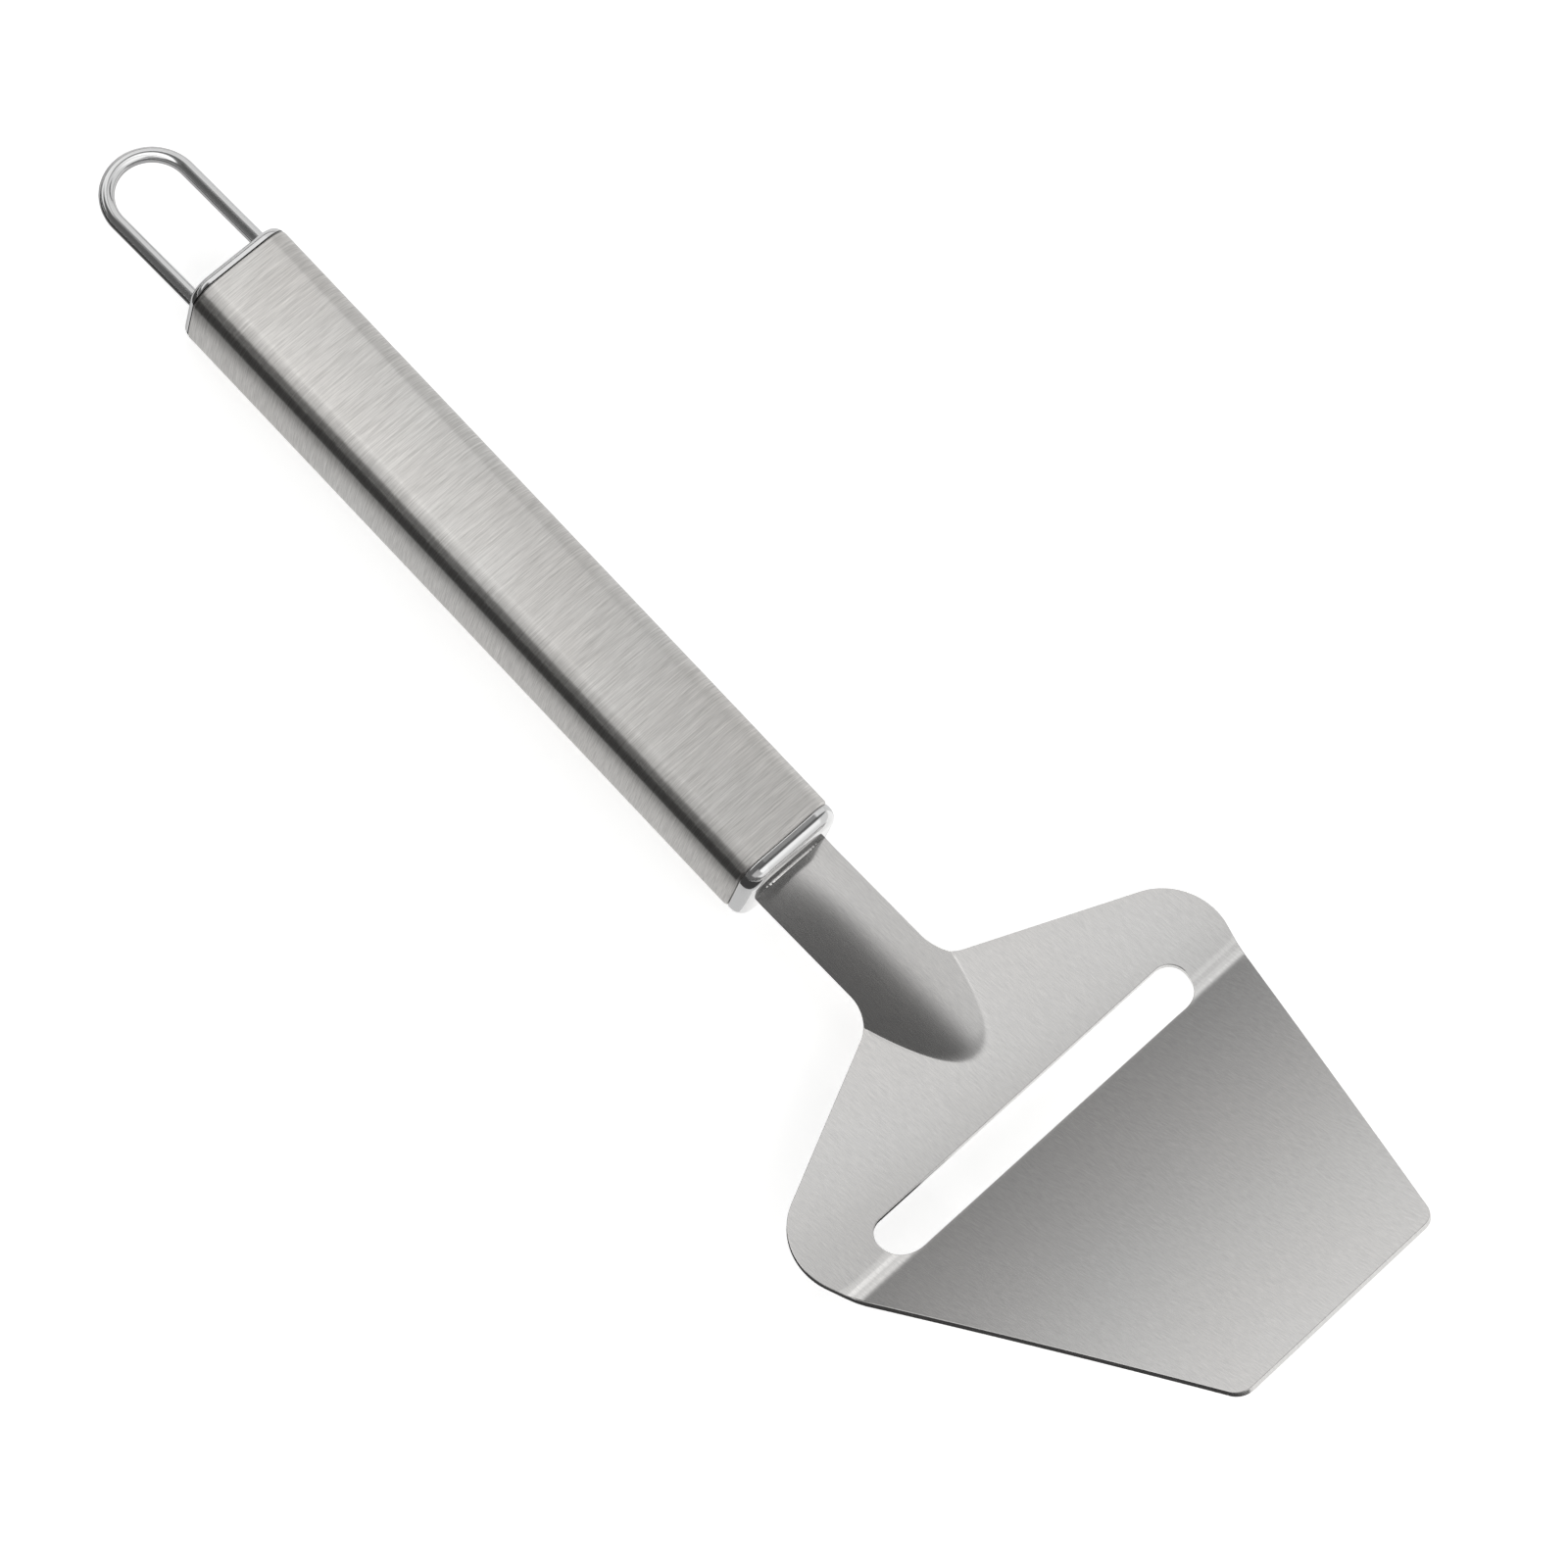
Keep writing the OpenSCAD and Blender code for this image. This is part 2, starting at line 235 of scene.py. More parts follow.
def brushed_tube_steel(finishes):
    """Stainless tube that was brushed across the handle."""
    # The eye sees fine bright and dark streaks round the tube, and light drawn out along the handle.
    # Real brush lines are about 0.05 mm apart; these are coarser, so that they show in the render.
    line_pitch = 0.14 * MM
    line_length = 5 * MM
    grain = Grain(
        mark=(line_pitch, line_length, line_length), layers=4.0, harshness=0.65, cloud=18 * MM,
        roughness=(0.36, 0.42), relief=0.3, depth=0.02 * MM)
    material, shader = grained_steel(
        "stainless_tube_brushed_across", grain, finishes.tube, finishes.tube_shade, finishes.tube_warm)
    tree = material.node_tree
    round_handle = add_node(tree, "ShaderNodeTangent", direction_type="RADIAL", axis="X")
    tree.links.new(round_handle.outputs["Tangent"], shader.inputs["Tangent"])
    shader.inputs["Anisotropic"].default_value = 0.92
    # A quarter turn, so that the light spreads square to the brush lines
    shader.inputs["Anisotropic Rotation"].default_value = 0.25
    return material


# Map of the blade that holds its directions across and along, and the size that it shows as one unit
GRAIN_MAP = "across_and_along"
GRAIN_MAP_SIZE = 100 * MM


def satin_sheet_steel(finishes):
    """Stainless sheet as it was rolled, with a fine lengthwise grain."""
    # The eye sees a satin, slightly clouded grey, whose light spreads across the blade.
    # Real grain is about 0.03 mm wide; it is drawn coarser, so that it shows in the render.
    grain_width = 0.13 * MM
    grain_length = 1.5 * MM
    grain = Grain(
        mark=(grain_length, grain_width, grain_length), layers=3.0, harshness=0.6, cloud=25 * MM,
        roughness=(0.18, 0.22), relief=0.035, depth=0.01 * MM)
    material, shader = grained_steel(
        "stainless_sheet_satin", grain, finishes.sheet, finishes.sheet_shade, finishes.sheet_warm)
    tree = material.node_tree
    across = add_node(tree, "ShaderNodeTangent", direction_type="UV_MAP", uv_map=GRAIN_MAP)
    tree.links.new(across.outputs["Tangent"], shader.inputs["Tangent"])
    shader.inputs["Anisotropic"].default_value = 0.9
    return material


def polished_steel(finishes):
    """Buffed stainless fittings, made once for all of them."""
    name = "stainless_fittings_polished"
    if name in bpy.data.materials:
        return bpy.data.materials[name]
    material, tree, output = new_material(name)
    # The eye sees a near mirror, with the faint haze and waves that the buffing wheel leaves
    smear = 3 * MM
    place = add_node(tree, "ShaderNodeTexCoord")
    haze = add_node(tree, "ShaderNodeTexNoise", {
        "Vector": (place, "Object"), "Scale": 1 / smear, "Detail": 3.0})
    dull = add_node(tree, "ShaderNodeMapRange", {
        "Value": (haze, "Fac"), "To Min": 0.13, "To Max": 0.18})
    waves = add_node(tree, "ShaderNodeBump", {
        "Height": (haze, "Fac"), "Strength": 0.04, "Distance": 0.02 * MM})
    shader = add_node(tree, "ShaderNodeBsdfPrincipled", {
        "Base Color": (*finishes.fittings, 1), "Metallic": 1.0, "Roughness": (dull, "Result"),
        "Normal": (waves, "Normal")})
    tree.links.new(shader.outputs["BSDF"], output.inputs["Surface"])
    return material


class Surface:
    """Collects faces with their own corner normals, so that flat faces stay flat and edges look round."""

    def __init__(self):
        self.places = {}
        self.points = []
        self.faces = []
        self.normals = []

    def index(self, point):
        """Number of the vertex at a point, made if it is new."""
        key = tuple(round(float(c) * POINT_GRID) for c in point)
        if key not in self.places:
            self.places[key] = len(self.points)
            self.points.append([float(c) for c in point])
        return self.places[key]

    def face(self, points, normals):
        """Adds a face whose corners have these points and normals; corners that fall together count once."""
        corners = [self.index(point) for point in points]
        kept = [i for i in range(len(corners)) if corners[i] != corners[i - 1]]
        if len(kept) < 3:
            return
        self.faces.append([corners[i] for i in kept])
        self.normals.extend([[float(c) for c in normals[i]] for i in kept])

    def piece(self, name, node, slot, material):
        """Makes the object that stands for a CAD node."""
        mesh = bpy.data.meshes.new(name)
        mesh.from_pydata(self.points, [], self.faces)
        mesh.shade_smooth()
        mesh.normals_split_custom_set(self.normals)
        piece = bpy.data.objects.new(name, mesh)
        bpy.context.scene.collection.objects.link(piece)
        finish_piece(piece, node, material)
        return piece


def finish_piece(piece, node, material):
    """Gives a piece its material and its place on the frame."""
    piece.data.materials.clear()
    piece.data.materials.append(material)
    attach(piece, BODY)
    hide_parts(node)


def square_ring(side, corner, inset, crown):
    """Round-cornered square as (y, z, outward y, outward z), drawn the given distance inside its outline."""
    # Each face is a shallow arch, and each corner arc starts with the slope that the arch ends with
    flat = side / 2 - corner
    slope = math.atan(2 * crown / flat)
    middle = side / 2 - crown - corner * math.cos(slope)
    reach = middle + corner * math.sin(slope)
    quarter = []
    for step in range(CROWN_STEPS):
        y = reach * (2 * step / CROWN_STEPS - 1)
        tilt = math.atan(2 * crown * y / reach ** 2)
        lift = crown * (1 - (y / reach) ** 2)
        quarter.append((y, side / 2 - crown + lift, math.sin(tilt), math.cos(tilt)))
    for step in range(QUARTER_STEPS):
        tilt = slope + (math.pi / 2 - 2 * slope) * step / QUARTER_STEPS
        out_y, out_z = math.sin(tilt), math.cos(tilt)
        quarter.append((middle + corner * out_y, middle + corner * out_z, out_y, out_z))
    ring = []
    for turn in range(4):
        for y, z, out_y, out_z in quarter:
            y, z = y - inset * out_y, z - inset * out_z
            for _ in range(turn):
                y, z, out_y, out_z = z, -y, out_z, -out_y
            ring.append((y, z, out_y, out_z))
    return ring[::-1]


def sweep(surface, side, corner, crown, axis_z, strips, flip=False):
    """Sweeps strips of (x, inset, forward, outward) round a round-cornered square."""
    for strip in strips:
        rings = [[(Vector((x, y, axis_z + z)), Vector((forward, outward * out_y, outward * out_z)))
                  for y, z, out_y, out_z in square_ring(side, corner, inset, crown)]
                 for x, inset, forward, outward in strip]
        for first, second in zip(rings, rings[1:]):
            for here in range(len(first)):
                there = (here + 1) % len(first)
                corners = [first[here], first[there], second[there], second[here]]
                if flip:
                    corners.reverse()
                surface.face([place for place, _ in corners], [normal for _, normal in corners])


def round_edge(end, direction, inset, edge, outward_first):
    """Quarter-round edge at an end: from the side to the end face, or back."""
    strip = []
    for step in range(QUARTER_STEPS + 1):
        turn = math.pi / 2 * step / QUARTER_STEPS
        x = end - direction * edge * (1 - math.sin(turn))
        strip.append((x, inset + edge * (1 - math.cos(turn)), direction * math.sin(turn), math.cos(turn)))
    return strip if outward_first else strip[::-1]


def end_face(surface, side, corner, axis_z, x, inset, direction):
    """Closes a swept bar with a flat face."""
    ring = [Vector((x, y, axis_z + z)) for y, z, _, _ in square_ring(side, corner, inset, 0)]
    if direction < 0:
        ring.reverse()
    surface.face(ring, [Vector((direction, 0, 0))] * len(ring))


class SLICER_OT_handle_tube(bpy.types.Operator):
    """Build the brushed square tube of the handle"""
    bl_idname = "slicer.handle_tube"
    bl_label = "Handle tube"

    def execute(self, context):
        handle = context.scene.slicer_handle
        rear, front = -handle.length / 2, handle.length / 2
        rear_round = round_edge(rear, -1, 0, handle.rear_edge, False)
        front_round = round_edge(front, 1, 0, handle.front_edge, True)
        strips = [
            [(rear, handle.wall, -1, 0), (rear, handle.rear_edge, -1, 0)],
            rear_round + front_round,
            [(front, handle.front_edge, 1, 0), (front, handle.wall, 1, 0)],
            [(front, handle.wall, 0, -1), (rear, handle.wall, 0, -1)],
        ]
        tube = Surface()
        sweep(tube, handle.side, handle.corner, handle.crown, handle.side / 2, strips)
        steel = brushed_tube_steel(context.scene.slicer_finishes)
        tube.piece("handle_tube_brushed", "handle_tube", "brushed_tube", steel)
        return {"FINISHED"}


class SLICER_OT_fittings(bpy.types.Operator):
    """Build the polished ferrule and the rear cap that close the tube"""
    bl_idname = "slicer.fittings"
    bl_label = "Ferrule and rear cap"

    def execute(self, context):
        handle = context.scene.slicer_handle
        steel = polished_steel(context.scene.slicer_finishes)
        plug_inset = handle.wall + handle.plug_gap
        for name, node, direction, reach, edge in (
                ("front_ferrule_polished", "front_ferrule", 1, handle.ferrule_reach, handle.ferrule_edge),
                ("rear_cap_polished", "rear_cap", -1, handle.cap_reach, handle.cap_edge)):
            mouth = direction * handle.length / 2
            inner = mouth - direction * handle.plug_depth
            back = mouth + direction * handle.plug_gap
            end = mouth + direction * reach
            back_start = handle.collar_inset + handle.collar_back
            back_round = round_edge(back, -direction, handle.collar_inset, handle.collar_back, False)
            outer_round = round_edge(end, direction, handle.collar_inset, edge, True)
            strips = [
                [(inner, plug_inset, 0, 1), (back, plug_inset, 0, 1)],
                [(back, plug_inset, -direction, 0), (back, back_start, -direction, 0)],
                back_round + outer_round,
            ]
            fitting = Surface()
            sweep(fitting, handle.side, handle.corner, 0, handle.side / 2, strips, flip=direction < 0)
            for x, inset, facing in ((inner, plug_inset, -direction),
                                     (end, handle.collar_inset + edge, direction)):
                end_face(fitting, handle.side, handle.corner, handle.side / 2, x, inset, facing)
            fitting.piece(name, node, "polished_fittings", steel)
        return {"FINISHED"}


def wire_tree(material):
    """Geometry nodes that round the corners of a path and sweep a wire along it."""
    tree = bpy.data.node_groups.new("bent_wire", "GeometryNodeTree")
    tree.interface.new_socket("Path", in_out="INPUT", socket_type="NodeSocketGeometry")
    diameter = tree.interface.new_socket("Wire diameter", in_out="INPUT", socket_type="NodeSocketFloat")
    bend = tree.interface.new_socket("Bend radius", in_out="INPUT", socket_type="NodeSocketFloat")
    tree.interface.new_socket("Wire", in_out="OUTPUT", socket_type="NodeSocketGeometry")
    bend_steps = 4 * QUARTER_STEPS
    sides = 3 * QUARTER_STEPS
    given = add_node(tree, "NodeGroupInput")
    path = add_node(tree, "GeometryNodeMeshToCurve", {"Mesh": (given, "Path")})
    rounded = add_node(tree, "GeometryNodeFilletCurve", {
        "Curve": (path, "Curve"), "Radius": (given, "Bend radius"),
        "Count": bend_steps, "Limit Radius": True}, mode="POLY")
    half = add_node(tree, "ShaderNodeMath", {0: (given, "Wire diameter"), 1: 0.5}, operation="MULTIPLY")
    section = add_node(tree, "GeometryNodeCurvePrimitiveCircle", {
        "Resolution": sides, "Radius": (half, "Value")})
    upright = add_node(tree, "GeometryNodeSetCurveNormal", {"Curve": (rounded, "Curve")}, mode="Z_UP")
    wire = add_node(tree, "GeometryNodeCurveToMesh", {
        "Curve": (upright, "Curve"), "Profile Curve": (section, "Curve"), "Fill Caps": True})
    whole = add_node(tree, "GeometryNodeRealizeInstances", {"Geometry": (wire, "Mesh")})
    painted = add_node(tree, "GeometryNodeSetMaterial", {
        "Geometry": (whole, "Geometry"), "Material": material})
    result = add_node(tree, "NodeGroupOutput")
    tree.links.new(painted.outputs["Geometry"], result.inputs["Wire"])
    return tree, diameter.identifier, bend.identifier


class SLICER_OT_hanging_loop(bpy.types.Operator):
    """Bend the wire loop behind the rear cap"""
    bl_idname = "slicer.hanging_loop"
    bl_label = "Hanging loop"

    def execute(self, context):
        handle = context.scene.slicer_handle
        loop = context.scene.slicer_loop
        steel = polished_steel(context.scene.slicer_finishes)
        half = loop.width / 2
        # The two rounded corners take nearly the whole half width, so they make one half-round end;
        # the hair that is left keeps them from meeting in one doubled point
        bend_radius = 0.995 * half
        end = -loop.leg - half
        lean = Matrix.Rotation(-loop.droop, 4, "Y")
        root = Vector((-handle.length / 2 - handle.cap_reach, 0, handle.side / 2 + loop.rise))
        path = [(loop.depth, -half, 0), (end, -half, 0), (end, half, 0), (loop.depth, half, 0)]
        mesh = bpy.data.meshes.new("loop_path")
        mesh.from_pydata([root + lean @ Vector(point) for point in path], [(0, 1), (1, 2), (2, 3)], [])
        guide = bpy.data.objects.new("loop_path", mesh)
        context.scene.collection.objects.link(guide)
        tree, diameter, bend = wire_tree(steel)
        modifier = guide.modifiers.new("wire", "NODES")
        modifier.node_group = tree
        modifier[diameter] = loop.wire
        modifier[bend] = bend_radius
        swept = bpy.data.meshes.new_from_object(guide.evaluated_get(context.evaluated_depsgraph_get()))
        swept.name = "hanging_loop_wire"
        swept.shade_smooth()
        bpy.data.objects.remove(guide)
        wire = bpy.data.objects.new("hanging_loop_wire", swept)
        context.scene.collection.objects.link(wire)
        finish_piece(wire, "hanging_loop", steel)
        return {"FINISHED"}


# Distances between the points of the blade's mesh
RIM_GAP = 1.4 * MM
PLATE_ROW_GAP = 1.3 * MM
PLATE_GAP = 1.5 * MM
NECK_GAP = 0.6 * MM
BEND_GAP = 1.2 * MM
CREASE_GAP = 0.12 * MM
JOINT_ROW_GAP = 0.06 * MM
# Least distance from the points that fill the faces to the rims and to the crease
CLEAR_GAP = 0.3 * MM
# Points along the bent part of the sheet, from which its places are read
WAY_POINTS = 6001


class BladeForm:
    """Shape of the blade over a plan of (run, y) points; run is the length along the sheet from the bend."""

    def __init__(self, sizes, handle):
        self.sizes = sizes
        self.axis_z = handle.side / 2
        self.face_x = handle.length / 2 + handle.ferrule_reach
        self.bend_x = self.face_x + sizes.bend_ahead
        self.bend_z = self.axis_z + sizes.bend_rise
        self.half_angle = (sizes.front_pitch - sizes.rear_pitch) / 2
        # The bent part is followed in small steps, which end just past the front edge
        past_edge = 1 * MM
        self.way = np.linspace(-sizes.bend_reach, sizes.front_length + past_edge, WAY_POINTS)
        slopes = self.slope(self.way)
        step = self.way[1] - self.way[0]
        start_x = self.bend_x - sizes.bend_reach * math.cos(sizes.rear_pitch)
        start_z = self.bend_z - sizes.bend_reach * math.sin(sizes.rear_pitch)
        self.way_x = start_x + step * np.cumsum(np.cos(slopes))
        self.way_z = start_z + step * np.cumsum(np.sin(slopes))
        # Run at which the crown of the neck meets the plate, which closes in on it by this much per length
        climb = math.tan(sizes.neck_pitch)
        self.closing = math.sin(sizes.rear_pitch) - climb * math.cos(sizes.rear_pitch)
        self.neck_end = (sizes.neck_rise + climb * sizes.bend_ahead - sizes.bend_rise) / self.closing
        # Run at which the crown of the neck meets the ferrule's face
        plate_z = self.bend_z - sizes.bend_ahead * math.tan(sizes.rear_pitch)
        crown = self.neck_height(self.face_x, plate_z, 0)
        self.joint = (crown * math.sin(sizes.rear_pitch) - sizes.bend_ahead) / math.cos(sizes.rear_pitch)
        # The neck runs on into the ferrule
        into_ferrule = 0.5 * handle.ferrule_reach
        self.back = -(sizes.bend_ahead + into_ferrule) / math.cos(sizes.rear_pitch)

    def slope(self, run):
        """Slope of the sheet: the bend eases in and out, and the front plate is a little sprung."""
        sizes = self.sizes
        turn = np.clip(run / sizes.bend_reach, -1, 1)
        eased = 0.5 + turn * (3 - turn ** 2) / 4
        share = np.clip((run - sizes.bend_reach) / (sizes.front_length - sizes.bend_reach), 0, 1)
        full = sizes.front_pitch + sizes.front_spring - sizes.rear_pitch
        return sizes.rear_pitch + full * eased - 2 * sizes.front_spring * share

    def plate(self, run):
        """x, z and slope of the bent top face, without the neck."""
        pitch = self.sizes.rear_pitch
        flat = run < -self.sizes.bend_reach
        x = np.where(flat, self.bend_x + run * math.cos(pitch), np.interp(run, self.way, self.way_x))
        z = np.where(flat, self.bend_z + run * math.sin(pitch), np.interp(run, self.way, self.way_z))
        return x, z, self.slope(run)

    def arch_drop(self, y):
        """How far the neck's arch falls from its crown at a distance to one side."""
        radius = self.sizes.neck_radius
        return radius - np.sqrt(np.maximum(radius ** 2 - y ** 2, 0))

    def neck_height(self, x, z, y):
        """How far the neck's arch stands above the rear plate, measured square to the plate."""
        sizes = self.sizes
        climb = math.tan(sizes.neck_pitch)
        above = self.axis_z + sizes.neck_rise + climb * (x - self.face_x) - self.arch_drop(y) - z
        return above / (math.cos(sizes.rear_pitch) + climb * math.sin(sizes.rear_pitch))

    def rise(self, run, y):
        """Height of the top face above the rear plate, where the neck's arch fades into it."""
        sizes = self.sizes
        x, z, _ = self.plate(run)
        height = self.neck_height(x, z, y)
        # The crease is crisp beside the neck and grows soft towards the neck's end in the plate
        along = np.clip((run + sizes.shoulder_back) / (sizes.shoulder_back + self.neck_end), 0, 1)
        soft = sizes.crease + (sizes.tongue - sizes.crease) * along ** 3
        low = np.clip(height, 0, soft)
        groove_width = 3 * sizes.groove
        groove = sizes.groove * (1 - along ** 3) * np.exp(-(height / groove_width) ** 2)
        return low ** 2 / (2 * soft) + np.maximum(height - soft, 0) - groove

    def top(self, run, y):
        """Points of the top face, with the hollow joint where the neck meets the ferrule."""
        radius = self.sizes.solder
        x, z, slope = self.plate(run)
        rise = self.rise(run, y)
        away = np.clip(x - rise * np.sin(slope) - self.face_x, 0, radius)
        joint = radius - np.sqrt(radius ** 2 - (radius - away) ** 2)
        rise = rise + joint
        return np.stack([x - rise * np.sin(slope), y, z + rise * np.cos(slope)], -1)

    def thickness(self, run, y):
        """Thickness of the sheet, which the bevel takes down towards the cutting edge."""
        sizes = self.sizes
        share = np.clip((run - sizes.slot_ahead) / sizes.bevel_width, 0, 1)
        ground = sizes.edge_thickness + (sizes.sheet - sizes.edge_thickness) * share
        # The bevel stops short of the slot's round ends
        stop = self.slot_front_half() - 0.5 * MM
        return np.where((run > 0) & (np.abs(y) < stop), ground, sizes.sheet)

    def bottom(self, run, y):
        """Points of the underside."""
        return self.top(run, y) - self.thickness(run, y)[..., None] * self.square(self.top, run, y)

    def square(self, face, run, y):
        """Unit normals of a face, on its upper side."""
        step = 0.01 * MM
        along = face(run + step, y) - face(run - step, y)
        across = face(run, y + step) - face(run, y - step)
        normal = np.cross(along, across)
        return normal / np.linalg.norm(normal, axis=-1, keepdims=True)

    def slot_rear_middle(self):
        """Middle of the slot's end arcs, along the sheet."""
        return self.sizes.slot_rear_end - self.sizes.slot_back

    def slot_front_half(self):
        """Half of the slot's straight cutting edge."""
        return self.sizes.slot_length / 2 - (self.sizes.slot_ahead - self.slot_rear_middle())

    def outline(self):
        """Outline of the sheet as (run, y) points, one way round, with the neck's end left straight."""
        sizes = self.sizes
        ratio = math.cos(self.half_angle)
        fall, lean = math.tan(sizes.side_taper), math.tan(sizes.shoulder_angle)
        shoulder = sizes.shoulder_back * ratio
        front = sizes.front_length * ratio
        quarter = math.pi / 2
        # Rear corner, where the line of the shoulder meets the line of the side
        shoulder_way = np.array([math.sin(sizes.shoulder_angle), math.cos(sizes.shoulder_angle)])
        square_way = np.array([shoulder_way[1], -shoulder_way[0]])
        corner_y = (sizes.half_width + fall * (shoulder + sizes.neck_half_width * lean)) / (1 + fall * lean)
        corner = np.array([(sizes.half_width - corner_y) / fall, corner_y])
        reach = sizes.rear_corner * math.tan((quarter - sizes.shoulder_angle + sizes.side_taper) / 2)
        rear_middle = corner - reach * shoulder_way + sizes.rear_corner * square_way
        # Hollow corner between the neck and the shoulder
        reach = sizes.neck_fillet * math.tan((quarter - sizes.shoulder_angle) / 2)
        hollow_middle = np.array([-shoulder - reach, sizes.neck_half_width + sizes.neck_fillet])
        # Front corner
        tip = np.array([front, sizes.half_width - front * fall])
        reach = sizes.front_corner * math.tan((quarter - sizes.side_taper) / 2)
        front_middle = tip - np.array([sizes.front_corner, reach])
        half = np.concatenate([
            [[self.back * ratio, sizes.neck_half_width]],
            arc(hollow_middle, sizes.neck_fillet, -quarter, -sizes.shoulder_angle),
            arc(rear_middle, sizes.rear_corner, math.pi - sizes.shoulder_angle, quarter - sizes.side_taper),
            arc(front_middle, sizes.front_corner, quarter - sizes.side_taper, 0),
        ])
        seen = spread(with_mirror(half), RIM_GAP)
        # The plan is seen square to the middle of the bend, where a raised point looks further forward;
        # three rounds bring place and height together
        run, y = seen[:, 0] / ratio, seen[:, 1]
        for _ in range(3):
            run = (seen[:, 0] - math.sin(self.half_angle) * self.rise(run, y)) / ratio
        return np.stack([run, y], -1)

    def crease(self):
        """Line where the neck's arch meets the rear plate, as (run, y) points round the neck's end."""
        points = 120
        # The line goes on past the neck's sides, to the hollow corners
        past_side = 1.3
        y = np.linspace(-past_side, past_side, points) * self.sizes.neck_half_width
        return np.stack([self.neck_end - self.arch_drop(y) / self.closing, y], -1)

    def slot(self):
        """Outline of the slot as (run, y) points."""
        sizes = self.sizes
        middle = self.slot_rear_middle()
        rear_arc_middle = np.array([middle, sizes.slot_length / 2 - sizes.slot_rear_end])
        front_arc_middle = np.array([middle, self.slot_front_half()])
        half = np.concatenate([
            arc(rear_arc_middle, sizes.slot_rear_end, math.pi, math.pi / 2),
            arc(front_arc_middle, sizes.slot_ahead - middle, math.pi / 2, 0)[1:],
        ])
        return spread(with_mirror(half), RIM_GAP)


def arc(centre, radius, first, last):
    """Points along an arc in a plan, from one angle to another."""
    least = 3
    steps = max(least, round(2 * QUARTER_STEPS * abs(last - first) / (math.pi / 2)))
    turns = np.linspace(first, last, steps + 1)
    return centre + radius * np.stack([np.cos(turns), np.sin(turns)], -1)


def with_mirror(half):
    """A closed plan loop from one half of it, which starts and ends beside the middle line."""
    return np.concatenate([half, half[::-1] * [1, -1]])


def spread(loop, gap):
    """The same closed loop with points added wherever two lie further apart than the gap."""
    points = []
    for here, there in zip(loop, np.roll(loop, -1, axis=0)):
        pieces = max(1, math.ceil(np.linalg.norm(there - here) / gap))
        points.extend(here + (there - here) * i / pieces for i in range(pieces))
    return np.array(points)


def outward(loop):
    """Unit normals of a closed plan loop, away from the sheet when the sheet lies on its right."""
    way = np.roll(loop, -1, axis=0) - np.roll(loop, 1, axis=0)
    normal = np.stack([-way[:, 1], way[:, 0]], -1)
    return normal / np.linalg.norm(normal, axis=1, keepdims=True)


def inside(points, loop):
    """Whether each plan point lies inside a closed loop."""
    found = np.zeros(len(points), bool)
    for (run_0, y_0), (run_1, y_1) in zip(loop, np.roll(loop, -1, axis=0)):
        if y_0 == y_1:
            continue
        crossing = (points[:, 1] >= min(y_0, y_1)) & (points[:, 1] < max(y_0, y_1))
        at = run_0 + (points[:, 1] - y_0) * (run_1 - run_0) / (y_1 - y_0)
        found ^= crossing & (points[:, 0] < at)
    return found


def clear_of(points, line, gap):
    """Whether each plan point is at least a gap away from every point of a line."""
    near = np.full(len(points), np.inf)
    for place in line:
        near = np.minimum(near, np.linalg.norm(points - place, axis=1))
    return near > gap


def lattice(run_range, y_range, row_gap, gap):
    """Evenly spaced plan points, every second row moved half a gap."""
    run = np.arange(run_range[0], run_range[1], row_gap)
    y = np.arange(y_range[0], y_range[1], gap)
    grid = np.stack(np.meshgrid(run, y, indexing="ij"), -1)
    grid[1::2, :, 1] += gap / 2
    return grid.reshape(-1, 2)


